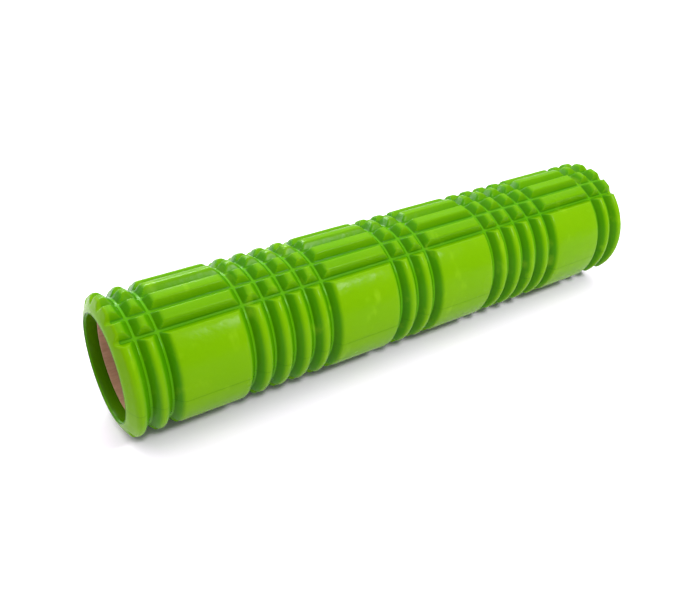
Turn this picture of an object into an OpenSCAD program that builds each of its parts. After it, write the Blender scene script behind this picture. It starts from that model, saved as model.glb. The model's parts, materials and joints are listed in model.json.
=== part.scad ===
// Long grid foam roller: a moulded foam sleeve bonded round a rigid hollow core tube.
// The roller lies along X and rests on Z = 0, centred over the origin.

/* [Sleeve] */
// Diameter over the crowns of the rings and pads
outer_d = 135; // [125:1:150]
// Depth of the grooves between rings and pads
groove_depth = 7.5; // [6:0.5:8]
// Width of the flat floor of a groove
floor_w = 1.8; // [1:0.1:3]
// Radius of the rounded crowns
crown_r = 6; // [5:0.5:7]

/* [Lengths] */
// Length of each of the two rings at either end
end_ring_len = 20; // [18:0.5:24]
// Length of each ring between the pads
ring_len = 20.7; // [19:0.1:24]
// Length of the two pads nearest the ends
outer_pad_len = 80; // [60:1:100]
// Length of the two pads beside the middle
inner_pad_len = 81.5; // [60:0.5:100]

/* [Ribs] */
// Angle between the lengthwise grooves that cut the sleeve into ribs and blocks
rib_angle = 19.33; // [18:0.01:20]
// Ribs side by side in each ribbed band
rib_count = 4; // [2:1:4]
// Width of a lengthwise groove where it meets the crowns
rib_groove_w = 12; // [9:0.5:13]

/* [Core] */
// Inner diameter of the core tube
core_d = 99; // [90:1:99]
// Wall of the core tube
core_wall = 3.5; // [2:0.5:4]
// Diameter of the opening in the foam lip at each end
lip_d = 100; // [99.5:0.5:101]
// Length of the foam lip beyond each end of the tube
lip_len = 12; // [6:1:16]
// Radius at which the flat end face gives way to the rounded end ring
end_face_r = 54.5; // [53:0.5:56]

/* [Hidden] */
outer_r = outer_d / 2;
floor_r = outer_r - groove_depth;
// The lengthwise grooves stop just above the floors of the ring grooves.
rib_floor_lift = 0.3;
rib_floor_r = floor_r + rib_floor_lift;
// How far a shape runs into its neighbour, or a cutter past the surface it cuts
overlap = 1;
crown_centre_r = outer_r - crown_r;
core_r = core_d / 2;
seat_r = core_r + core_wall;
lip_r = lip_d / 2;
// Cells from one end to the other; both ends repeat the same order.
CELLS = [
    end_ring_len, end_ring_len, outer_pad_len,
    ring_len, ring_len, ring_len, ring_len, inner_pad_len,
    ring_len, ring_len, inner_pad_len,
    ring_len, ring_len, ring_len, ring_len, outer_pad_len,
    end_ring_len, end_ring_len
];
LAST = len(CELLS) - 1;
function cell_start(i) = i == 0 ? 0 : cell_start(i - 1) + CELLS[i - 1];
roller_len = cell_start(LAST) + CELLS[LAST];
tube_len = roller_len - 2 * lip_len;
// The roller rests on the two edges of the lengthwise groove at its underside.
axis_z = sqrt(pow(outer_r, 2) - pow(rib_groove_w / 2, 2));
$fn = 96;

// Where the line from point p touches the crown circle about centre c, on one side of it
function touch(p, c, side) =
    let (v = p - c, a = atan2(v[1], v[0]) + side * acos(crown_r / norm(v)))
    c + crown_r * [cos(a), sin(a)];

// One ring or pad as [radius, length along the roller], between its two flank feet
module raised_cell(start, end, start_foot, end_foot) {
    side = min(ring_len, end - start) / 2;
    c1 = [crown_centre_r, start + side];
    c2 = [crown_centre_r, end - side];
    translate(c1) circle(crown_r);
    if (end - start > 2 * ring_len) {
        translate(c2) circle(crown_r);
        translate([floor_r - overlap, c1[1]])
            square([outer_r - floor_r + overlap, c2[1] - c1[1]]);
    }
    polygon([
        [lip_r + overlap, start_foot[1]], start_foot, touch(start_foot, c1, 1),
        touch(end_foot, c2, -1), end_foot, [lip_r + overlap, end_foot[1]]
    ]);
}

module sleeve_section() {
    wall_start = end_ring_len - 2 * overlap;
    difference() {
        union() {
            translate([lip_r, 0]) square([end_face_r - lip_r, roller_len]);
            translate([lip_r, wall_start])
                square([floor_r - lip_r, roller_len - 2 * wall_start]);
            for (i = [0 : LAST]) {
                start = cell_start(i);
                end = start + CELLS[i];
                start_foot = i == 0 ? [end_face_r, 0] : [floor_r, start + floor_w / 2];
                end_foot = i == LAST ? [end_face_r, roller_len] : [floor_r, end - floor_w / 2];
                raised_cell(start, end, start_foot, end_foot);
            }
        }
        translate([0, lip_len]) square([seat_r, tube_len]);
    }
}

// One lengthwise groove at the top of the roller, with a flat floor and sloping flanks
module rib_groove() {
    rise = outer_r - rib_floor_r;
    flank = (rib_groove_w - floor_w) / 2 / rise;
    over = 2 * overlap;
    half_top = rib_groove_w / 2 + over * flank;
    rotate([90, 0, 90]) linear_extrude(roller_len + 2 * overlap, center = true)
        polygon([
            [-floor_w / 2, rib_floor_r], [floor_w / 2, rib_floor_r],
            [half_top, outer_r + over], [-half_top, outer_r + over]
        ]);
}

module foam_sleeve() {
    color("#84be0c") translate([0, 0, axis_z]) difference() {
        translate([-roller_len / 2, 0, 0]) rotate([0, 90, 0])
            rotate_extrude() sleeve_section();
        for (band = [0, 180], i = [0 : rib_count])
            rotate([band + (i - rib_count / 2) * rib_angle, 0, 0]) rib_groove();
    }
}

module core_tube() {
    color("#8a6a52") translate([-tube_len / 2, 0, axis_z]) rotate([0, 90, 0])
        difference() {
            cylinder(r = seat_r, h = tube_len);
            translate([0, 0, -overlap]) cylinder(r = core_r, h = tube_len + 2 * overlap);
        }
}

foam_sleeve();
core_tube();
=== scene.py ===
import json
import math

import bmesh
import bpy
from mathutils import Matrix, Vector, noise


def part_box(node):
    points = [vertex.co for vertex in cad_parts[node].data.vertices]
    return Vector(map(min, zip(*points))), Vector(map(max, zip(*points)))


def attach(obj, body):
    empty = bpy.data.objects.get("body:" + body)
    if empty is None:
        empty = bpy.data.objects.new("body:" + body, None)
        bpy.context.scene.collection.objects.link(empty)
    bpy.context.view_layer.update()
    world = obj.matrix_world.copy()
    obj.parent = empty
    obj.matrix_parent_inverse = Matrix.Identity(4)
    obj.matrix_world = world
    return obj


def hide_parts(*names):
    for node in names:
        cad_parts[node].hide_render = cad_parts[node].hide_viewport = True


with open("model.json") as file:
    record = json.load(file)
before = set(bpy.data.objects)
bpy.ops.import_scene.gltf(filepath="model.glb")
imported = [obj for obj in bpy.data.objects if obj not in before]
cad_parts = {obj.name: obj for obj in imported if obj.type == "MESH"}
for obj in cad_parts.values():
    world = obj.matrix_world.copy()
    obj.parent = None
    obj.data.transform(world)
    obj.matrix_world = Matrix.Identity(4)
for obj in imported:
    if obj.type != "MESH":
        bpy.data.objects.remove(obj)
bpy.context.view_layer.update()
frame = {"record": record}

MM = 0.001

# ---------------------------------------------------------------- sizes, in millimetres
# The frame gives the sleeve, the tube and the bore; the rest is the mould's pattern.
SLEEVE_LOW, SLEEVE_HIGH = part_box("foam_sleeve")
TUBE_LOW, TUBE_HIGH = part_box("core_tube")
ROLLER_LEN = (SLEEVE_HIGH[0] - SLEEVE_LOW[0]) / MM
TUBE_LEN = (TUBE_HIGH[0] - TUBE_LOW[0]) / MM
LIP_LEN = (ROLLER_LEN - TUBE_LEN) / 2
AXIS_Z = (TUBE_LOW[2] + TUBE_HIGH[2]) / 2 / MM
CROWN_R = (SLEEVE_HIGH[1] - SLEEVE_LOW[1]) / 2 / MM
SEAT_R = (TUBE_HIGH[2] - TUBE_LOW[2]) / 2 / MM
BORE_R = next(m["dims"]["r_mm"] for m in frame["record"]["mounts"] if m["name"] == "core_bore")
LIP_R = BORE_R + 0.5  # the lip opens a little wider than the bore
DEPTH = 7.4
FLOOR_R = CROWN_R - DEPTH
FLOOR_W = 1.8

# Cells along half the roller, from groove to groove; the other half mirrors them
END_RING = 20.0
RING = 20.7
OUTER_PAD = 80.0
INNER_PAD = 81.5
HALF = [END_RING, END_RING, OUTER_PAD] + [RING] * 4 + [INNER_PAD, RING]
FLANK_RUN = 6.7  # how far a ring's or pad's flank reaches along the roller, to its sharp corner
FOOT_ROUND = 0.3
CROWN_ROUND = 5.4
END_FACE_R = 54.5
END_FACE_ROUND = 13.0
END_FLANK_RUN = 6.2
END_SLOPE = 7.2  # the end rings keep the crowns' tone this far in from the end faces
LIP_ROUND = 2.2

# Four ribs side by side in a band on top, and the same underneath
RIB_ANGLE = 19.33
RIBS = 4
RIB_FLANK_RUN = 4.9
RIB_ROUND = 2.0
EASE = 9.0  # how crisp the edge is where two flanks meet: higher is crisper

# The two mould halves met along each side. Angles are in degrees, from the top towards -Y.
PARTING_ANGLE = 101.0
PARTING_DEPTH = 0.4
PARTING_LOOPS = (-0.7, -0.4, 0.0, 0.4, 0.7)  # loops either side of the line keep it narrow
PARTING_CLEAR = 1.0  # no other loops come this near
PARTING_WANDER = ((0.4, 61.0, 0.0), (0.1, 19.0, 1.0))  # (degrees, mm for each radian, phase)

# The moulded skin is a little low in places, never proud
UNEVEN = 0.12
UNEVEN_SIZE = 22.0
SKIN_R = LIP_R + 1.0  # the skin is uneven and has its parting line outside this radius

# The tone attribute is 0 inside the lip and 1 on the crowns of rings and pads; the foam's colour
# ramp paints shade by it, darker where it is lower
FLOOR_PAINTED_SHADE = 0.25
RIB_CROWN_PAINTED_SHADE = 0.94  # painted shade on the crown of a rib or a block: darker than the crowns of rings and pads, against the light from above
RIB_FLANK_PAINTED_SHADE = 0.83  # at the foot of the flanks of a lengthwise groove, which get lighter painted shade than those of a groove round the roller
FLOOR_SHARE = 0.05  # the lowest part of the depth, which has the floor's tone

# The longest steps between edge loops
ARC_STEP = 1.9
LONG_STEP = 14.0
ROUND_STEP = 4.6
FLANK_STEP = 2.0
SMALLEST_STEP = 0.05
MERGE_DISTANCE = 0.001

TUBE_SIDES = 128
TUBE_CHAMFER = 0.6
TUBE_EDGE_ROUND = 0.2


# ---------------------------------------------------------------- materials
def linear(hex_colour):
    """An sRGB hex colour as the linear values that a shader takes."""
    out = []
    for i in (1, 3, 5):
        c = int(hex_colour[i:i + 2], 16) / 255
        out.append(c / 12.92 if c <= 0.04045 else ((c + 0.055) / 1.055) ** 2.4)
    return (*out, 1.0)


def grain(size):
    """The scale of a noise pattern whose features are this many millimetres across."""
    return 1 / (size * MM)


def add(tree, kind, links=None, ramp=None, **settings):
    """Adds a node, sets its properties or input sockets, and links its inputs."""
    made = tree.nodes.new("ShaderNode" + kind)
    for name, value in settings.items():
        if hasattr(made, name):
            setattr(made, name, value)
        else:
            made.inputs[name.replace("_", " ")].default_value = value
    if ramp:
        stops = made.color_ramp.elements
        stops.remove(stops[1])
        stops[0].position, stops[0].color = ramp[0]
        for place, colour in ramp[1:]:
            stops.new(place).color = colour
    for name, source in (links or {}).items():
        tree.links.new(source, made.inputs[name])
    return made


def new_material(name):
    material = bpy.data.materials.new(name)
    material.use_nodes = True
    tree = material.node_tree
    return material, tree, tree.nodes["Principled BSDF"]


def moulded_eva_foam():
    """Closed-cell EVA foam, hot-moulded: a satin skin, softly uneven, with painted shade that turns
    the flanks and grooves a deeper green and darkens the lip's inside, with fine pores and light
    scuffs."""
    material, tree, shader = new_material("moulded_eva_foam")
    link = tree.links.new
    where = add(tree, "TexCoord").outputs["Object"]
    # The tone attribute tells the lip's wall, the groove floors, the flanks and the crowns apart;
    # this ramp paints shade by it, dark inside the lip and at the feet of the flanks, pale on the
    # crowns.
    part_of_pattern = add(tree, "Attribute", attribute_name="tone").outputs["Fac"]
    tone = add(tree, "ValToRGB", {"Fac": part_of_pattern},
               ramp=[(0.0, linear("#285800")), (FLOOR_PAINTED_SHADE, linear("#3E8600")),
                     (FLOOR_PAINTED_SHADE + 0.05, linear("#1A6200")), (0.76, linear("#2E7800")),
                     (0.94, linear("#568C00")), (1.0, linear("#669600"))])
    # The pigment clouds a little.
    cloud = add(tree, "TexNoise", {"Vector": where}, Scale=grain(62.5), Detail=3.0)
    cloud_mix = add(tree, "ValToRGB", {"Fac": cloud.outputs["Fac"]},
                    ramp=[(0.3, linear("#589200")), (0.7, linear("#6E9E00"))])
    blended = add(tree, "MixRGB", {"Color1": tone.outputs[0], "Color2": cloud_mix.outputs[0]},
                  blend_type="MIX", Fac=0.25)
    # Scuffs are sparse pale streaks, drawn out along one slanting direction.
    streak_at = add(tree, "Mapping", {"Vector": where}, Rotation=(0.5, 0.2, 0.7),
                    Scale=(1.0, 0.2, 0.6))
    streak = add(tree, "TexNoise", {"Vector": streak_at.outputs[0]}, Scale=grain(14.3), Detail=4.0)
    scuff = add(tree, "MapRange", {"Value": streak.outputs["Fac"]}, From_Min=0.6, From_Max=0.78,
                To_Max=0.35)
    colour = add(tree, "MixRGB", {"Color1": blended.outputs[0], "Fac": scuff.outputs[0]},
                 Color2=linear("#8CB820"))
    # The parting line is painted a darker green.
    parting = add(tree, "Attribute", attribute_name="parting")
    parting_darkening = add(tree, "MapRange", {"Value": parting.outputs["Fac"]}, To_Max=0.75)
    lined = add(tree, "MixRGB", {"Color1": colour.outputs[0], "Fac": parting_darkening.outputs[0]},
                Color2=linear("#2F6A00"))
    link(lined.outputs[0], shader.inputs["Base Color"])
    # The satin changes in patches.
    patch = add(tree, "TexNoise", {"Vector": where}, Scale=grain(25), Detail=4.0)
    rough = add(tree, "MapRange", {"Value": patch.outputs["Fac"]}, From_Min=0.3, From_Max=0.7,
                To_Min=0.19, To_Max=0.28)
    link(rough.outputs[0], shader.inputs["Roughness"])
    # The pores are finer on the real foam; here they are as coarse as they need to be to show.
    pores = add(tree, "TexNoise", {"Vector": where}, Scale=grain(1.11), Detail=2.0)
    waves = add(tree, "TexNoise", {"Vector": where}, Scale=grain(9.1), Detail=3.0)
    fine = add(tree, "Bump", {"Height": pores.outputs["Fac"]}, Strength=0.08, Distance=0.0004)
    broad = add(tree, "Bump", {"Height": waves.outputs["Fac"], "Normal": fine.outputs[0]},
                Strength=0.2, Distance=0.002)
    link(broad.outputs[0], shader.inputs["Normal"])
    shader.inputs["IOR"].default_value = 1.48
    shader.inputs["Specular IOR Level"].default_value = 0.045
    shader.inputs["Subsurface Weight"].default_value = 0.08
    shader.inputs["Subsurface Radius"].default_value = (0.8, 1.0, 0.2)
    shader.inputs["Subsurface Scale"].default_value = 0.003
    return material


def extruded_tube():
    """Extruded pipe of recycled plastic: a matt pinkish brown with faint drag streaks that wind
    round the wall, and small dark specks."""
    material, tree, shader = new_material("extruded_recycled_plastic")
    link = tree.links.new
    where = add(tree, "TexCoord").outputs["Object"]
    wound = add(tree, "Mapping", {"Vector": where}, Rotation=(0.0, 0.5, 0.9), Scale=(0.2, 1.0, 1.0))
    drag = add(tree, "TexNoise", {"Vector": wound.outputs[0]}, Scale=grain(1.92), Detail=5.0)
    tone = add(tree, "ValToRGB", {"Fac": drag.outputs["Fac"]},
               ramp=[(0.25, linear("#A27A5C")), (0.75, linear("#BC9273"))])
    specks = add(tree, "TexNoise", {"Vector": where}, Scale=grain(0.91), Detail=1.0)
    speck = add(tree, "MapRange", {"Value": specks.outputs["Fac"]}, From_Min=0.68, From_Max=0.74,
                To_Max=0.5)
    colour = add(tree, "MixRGB", {"Color1": tone.outputs[0], "Fac": speck.outputs[0]},
                 Color2=linear("#7A5540"))
    link(colour.outputs[0], shader.inputs["Base Color"])
    bump = add(tree, "Bump", {"Height": drag.outputs["Fac"]}, Strength=0.25, Distance=0.0005)
    link(bump.outputs[0], shader.inputs["Normal"])
    shader.inputs["Roughness"].default_value = 0.62
    return material


def plain_floor():
    """Painted board: matt, and white with a trace of violet against the green the foam throws."""
    material, tree, shader = new_material("matt_white_board")
    shader.inputs["Base Color"].default_value = linear("#F0E9F4")
    shader.inputs["Roughness"].default_value = 0.9
    shader.inputs["Specular IOR Level"].default_value = 0.06
    return material


# ---------------------------------------------------------------- outlines
def rounded(corners, longest):
    """A path through corners given as (along, up, radius): each radius becomes an arc, and a
    straight run is divided so that no step is longer than longest, or FLANK_STEP up a flank."""
    path = []
    for i, (along, up, radius) in enumerate(corners):
        here = Vector((along, up))
        if radius == 0 or i in (0, len(corners) - 1):
            path.append(here)
            continue
        back = (Vector(corners[i - 1][:2]) - here).normalized()
        ahead = (Vector(corners[i + 1][:2]) - here).normalized()
        opening = back.angle(ahead)
        reach = radius / math.tan(opening / 2)
        centre = here + (back + ahead).normalized() * radius / math.sin(opening / 2)
        first = here + back * reach - centre
        last = here + ahead * reach - centre
        steps = max(2, math.ceil((math.pi - opening) * radius / ARC_STEP))
        path += [centre + first.slerp(last, k / steps) * radius for k in range(steps + 1)]
    divided = [path[0]]
    for point in path[1:]:
        gap = (point - divided[-1]).length
        if gap < SMALLEST_STEP:
            continue
        start = divided[-1]
        climbs = abs(point.y - start.y) > gap / 3
        count = math.ceil(gap / (FLANK_STEP if climbs else longest))
        divided += [start.lerp(point, k / count) for k in range(1, count + 1)]
    return divided


def raised_cell(start, end, low, high, run, radius):
    """Corners of one ring, pad or rib: a foot, two rounded tops and a foot."""
    first, last = start + FLOOR_W / 2, end - FLOOR_W / 2
    return [
        (first, low, FOOT_ROUND), (first + run, high, radius),
        (last - run, high, radius), (last, low, FOOT_ROUND),
    ]


def section_path():
    """The sleeve's section as (along the roller, radius), from the tube's end over the first lip,
    along the outside and back into the far lip; the seat for the tube closes it."""
    corners = [(LIP_LEN, SEAT_R, 0), (LIP_LEN, LIP_R, FOOT_ROUND), (0, LIP_R, LIP_ROUND)]
    corners += [(0, END_FACE_R, END_FACE_ROUND), (END_FLANK_RUN, CROWN_R, CROWN_ROUND)]
    ring_end = END_RING - FLOOR_W / 2
    corners += [(ring_end - FLANK_RUN, CROWN_R, CROWN_ROUND), (ring_end, FLOOR_R, FOOT_ROUND)]
    start = END_RING
    for length in HALF[1:]:
        corners += raised_cell(start, start + length, FLOOR_R, CROWN_R, FLANK_RUN, CROWN_ROUND)
        start += length
    corners.append((start, FLOOR_R, 0))
    half = rounded(corners, LONG_STEP)
    return half + [Vector((ROLLER_LEN - p.x, p.y)) for p in half[-2::-1]]


def round_path():
    """Loops round the roller as (angle from the top towards -Y, height over the groove floor)."""
    per_mm = math.degrees(1 / FLOOR_R)
    band = [(k - RIBS / 2) * RIB_ANGLE for k in range(RIBS + 1)]
    grooves = band + [a + 180 for a in band]
    corners = []
    for g, after in zip(grooves, grooves[1:] + [grooves[0] + 360]):
        corners += raised_cell(g / per_mm, after / per_mm, 0, DEPTH, RIB_FLANK_RUN, RIB_ROUND)
    # The last corner closes the last floor, and is the same place as the first.
    corners.append(((grooves[0] + 360) / per_mm + FLOOR_W / 2, 0, 0))
    loops = [(p.x * per_mm, p.y) for p in rounded(corners, ROUND_STEP)[:-1]]
    for line in (PARTING_ANGLE, PARTING_ANGLE + 180):
        loops = [(a, h) for a, h in loops if abs(a - line) > PARTING_CLEAR]
        loops += [(line + step, DEPTH) for step in PARTING_LOOPS]
    return sorted(loops)


# ---------------------------------------------------------------- pieces
def parting_groove(angle, x):
    """1 on the parting line and 0 off it, and how far the line wanders off its angle there."""
    away = min(abs(angle - PARTING_ANGLE), abs(angle - PARTING_ANGLE - 180))
    if away > PARTING_CLEAR:
        return 0.0, 0.0
    wander = sum(turn * math.sin(x / length + phase) for turn, length, phase in PARTING_WANDER)
    return float(away < abs(PARTING_LOOPS[1]) / 2), wander


def painted_shade_tone(x, radius, angle, lengthwise):
    """The tone attribute, which carries painted shade: dark inside the lip and down the flanks into
    the grooves, the crowns' tone over the end faces, and lighter painted shade on the flanks of a
    lengthwise groove than on those of a groove round the roller."""
    from_end = min(x, ROLLER_LEN - x)
    # Painted shade inside the lip, darkest on the bore's wall.
    if radius < LIP_R + LIP_ROUND:
        return max(0.0, (radius - LIP_R) / LIP_ROUND)
    if from_end < END_SLOPE:
        return 1.0
    from_band = abs((angle + 90) % 180 - 90)
    crown_tone = RIB_CROWN_PAINTED_SHADE if from_band < RIB_ANGLE * RIBS / 2 else 1.0
    height = (radius - FLOOR_R) / DEPTH
    foot_tone = RIB_FLANK_PAINTED_SHADE if lengthwise and height > FLOOR_SHARE else FLOOR_PAINTED_SHADE
    return foot_tone + (crown_tone - foot_tone) * height


def moulded_radius(profile, around):
    """The sleeve's radius where the section's radius meets the ribs' height. An edge between two
    flanks is eased, and a crossing of two grooves opens into a small flat node."""
    if profile <= FLOOR_R:
        return profile
    lost = (CROWN_R - profile) ** EASE + (DEPTH - around) ** EASE
    return CROWN_R - min(DEPTH, lost ** (1 / EASE))


def finish_piece(bm, name, material):
    """Merges doubled vertices, turns every face outwards and makes the bmesh a smooth object."""
    bmesh.ops.remove_doubles(bm, verts=bm.verts, dist=MERGE_DISTANCE * MM)
    bmesh.ops.recalc_face_normals(bm, faces=bm.faces)
    mesh = bpy.data.meshes.new(name)
    bm.to_mesh(mesh)
    bm.free()
    mesh.materials.append(material)
    for face in mesh.polygons:
        face.use_smooth = True
    piece = bpy.data.objects.new(name, mesh)
    bpy.context.scene.collection.objects.link(piece)
    return piece


def make_foam_sleeve():
    """A sheet with a loop for every edge of the mould's pattern, wrapped round the roller's axis
    and closed on itself both ways."""
    section = section_path()
    loops = round_path()
    bm = bmesh.new()
    bmesh.ops.create_grid(bm, x_segments=len(section), y_segments=len(loops), size=1)
    parting = bm.verts.layers.float.new("parting")
    tone = bm.verts.layers.float.new("tone")
    for vert in bm.verts:
        i = round((vert.co.x + 1) / 2 * len(section)) % len(section)
        j = round((vert.co.y + 1) / 2 * len(loops)) % len(loops)
        x, profile = section[i]
        angle, around = loops[j]
        radius = moulded_radius(profile, around)
        # The tone attribute carries the painted shade of the grooves, flanks and lip.
        vert[tone] = painted_shade_tone(x, radius, angle, around < profile - FLOOR_R)
        if profile > SKIN_R:
            vert[parting], wander = parting_groove(angle, x)
            angle += wander
            uneven = noise.noise(Vector((x, angle, profile)) / UNEVEN_SIZE)
            radius -= vert[parting] * PARTING_DEPTH
            if radius > FLOOR_R + UNEVEN:
                radius -= UNEVEN * (1 + uneven)
        turn = math.radians(angle)
        across, up = -radius * math.sin(turn), radius * math.cos(turn)
        vert.co = Vector((x - ROLLER_LEN / 2, across, AXIS_Z + up)) * MM
    sleeve = finish_piece(bm, "moulded_foam_sleeve", moulded_eva_foam())
    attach(sleeve, "root")
    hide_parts("foam_sleeve")
    return sleeve


def make_core_tube():
    """The tube's wall, with its sawn ends lightly broken, spun round the roller's axis."""
    ends = []
    for x, inwards in ((0, 1), (TUBE_LEN, -1)):
        inner = x + inwards * TUBE_CHAMFER
        ends.append([(inner, SEAT_R), (x, SEAT_R - TUBE_CHAMFER),
                     (x, BORE_R + TUBE_CHAMFER), (inner, BORE_R)])
    outline = ends[0] + ends[1][::-1]
    bm = bmesh.new()
    verts = [bm.verts.new(((x - TUBE_LEN / 2) * MM, 0, (AXIS_Z + r) * MM)) for x, r in outline]
    edges = [bm.edges.new((verts[k - 1], verts[k])) for k in range(len(verts))]
    bmesh.ops.spin(bm, geom=verts + edges, cent=(0, 0, AXIS_Z * MM), axis=(1, 0, 0),
                   angle=2 * math.pi, steps=TUBE_SIDES, use_merge=True)
    tube = finish_piece(bm, "extruded_core_tube", extruded_tube())
    bevel = tube.modifiers.new("edges", "BEVEL")
    bevel.width = TUBE_EDGE_ROUND * MM
    bevel.segments = 2
    bevel.limit_method = "ANGLE"
    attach(tube, "root")
    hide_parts("core_tube")
    return tube


# ---------------------------------------------------------------- stage, light and camera
def make_floor(height):
    """A board that reaches past the view, at the height of the foam's lowest point."""
    half_width = 30
    bm = bmesh.new()
    level = Matrix.Translation((0, 0, height))
    bmesh.ops.create_grid(bm, x_segments=1, y_segments=1, size=half_width, matrix=level)
    floor = finish_piece(bm, "floor", plain_floor())


def add_light(name, kind, place, power, **settings):
    """A light at a place, aimed at the middle of the roller."""
    data = bpy.data.lights.new(name, kind)
    data.energy = power
    for key, value in settings.items():
        setattr(data, key, value)
    light = bpy.data.objects.new(name, data)
    light.location = place
    aim = Vector((0, 0, AXIS_Z * MM)) - Vector(place)
    light.rotation_euler = aim.to_track_quat("-Z", "Y").to_euler()
    bpy.context.scene.collection.objects.link(light)


def make_lights():
    """A white studio: an even fill, a wide soft light overhead that lays the shadow close round the
    roller, a softbox at the side for the sheen on the pads, and a long one behind for the rims."""
    world = bpy.data.worlds.new("studio")
    world.use_nodes = True
    tree = world.node_tree
    fill = tree.nodes["Background"]
    fill.inputs["Color"].default_value = (1, 1, 1, 1)
    fill.inputs["Strength"].default_value = 0.5
    # Past the floor's edge the studio is plain white.
    white = add(tree, "Background", Strength=1.2)
    white.inputs["Color"].default_value = (1, 1, 1, 1)
    seen_directly = add(tree, "LightPath").outputs["Is Camera Ray"]
    both = add(tree, "MixShader")
    tree.links.new(seen_directly, both.inputs[0])
    tree.links.new(fill.outputs[0], both.inputs[1])
    tree.links.new(white.outputs[0], both.inputs[2])
    tree.links.new(both.outputs[0], tree.nodes["World Output"].inputs["Surface"])
    bpy.context.scene.world = world
    bpy.context.scene.view_settings.view_transform = "Standard"
    add_light("wide_overhead", "SUN", (0.02, 0.2, 1.0), 2.85, angle=math.radians(95))
    add_light("side_softbox", "AREA", (0.7, -1.24, 1.47), 28,
              shape="RECTANGLE", size=0.42, size_y=0.34)
    add_light("back_softbox", "AREA", (-0.2, 1.6, 1.0), 28,
              shape="RECTANGLE", size=1.6, size_y=0.2)


def make_camera():
    """The camera looks down and across the roller from beyond one end, straight at aim."""
    azimuth, elevation, roll = math.radians(-34.35), math.radians(31.72), math.radians(1.57)
    distance = 0.850
    aim = Vector((-0.0362, 0.0097, AXIS_Z * MM - 0.0201))
    back = Vector((
        math.sin(azimuth) * math.cos(elevation),
        -math.cos(azimuth) * math.cos(elevation),
        math.sin(elevation),
    ))
    data = bpy.data.cameras.new("camera")
    data.lens = 40.84
    data.sensor_width = 36
    data.clip_start = 0.01
    camera = bpy.data.objects.new("camera", data)
    turned = (-back).to_track_quat("-Z", "Y").to_matrix().to_4x4()
    place = Matrix.Translation(aim + back * distance)
    camera.matrix_world = place @ turned @ Matrix.Rotation(roll, 4, "Z")
    bpy.context.scene.collection.objects.link(camera)
    bpy.context.scene.camera = camera


make_camera()
make_lights()
sleeve = make_foam_sleeve()
make_core_tube()
make_floor(min(v.co.z for v in sleeve.data.vertices))
bpy.context.view_layer.update()
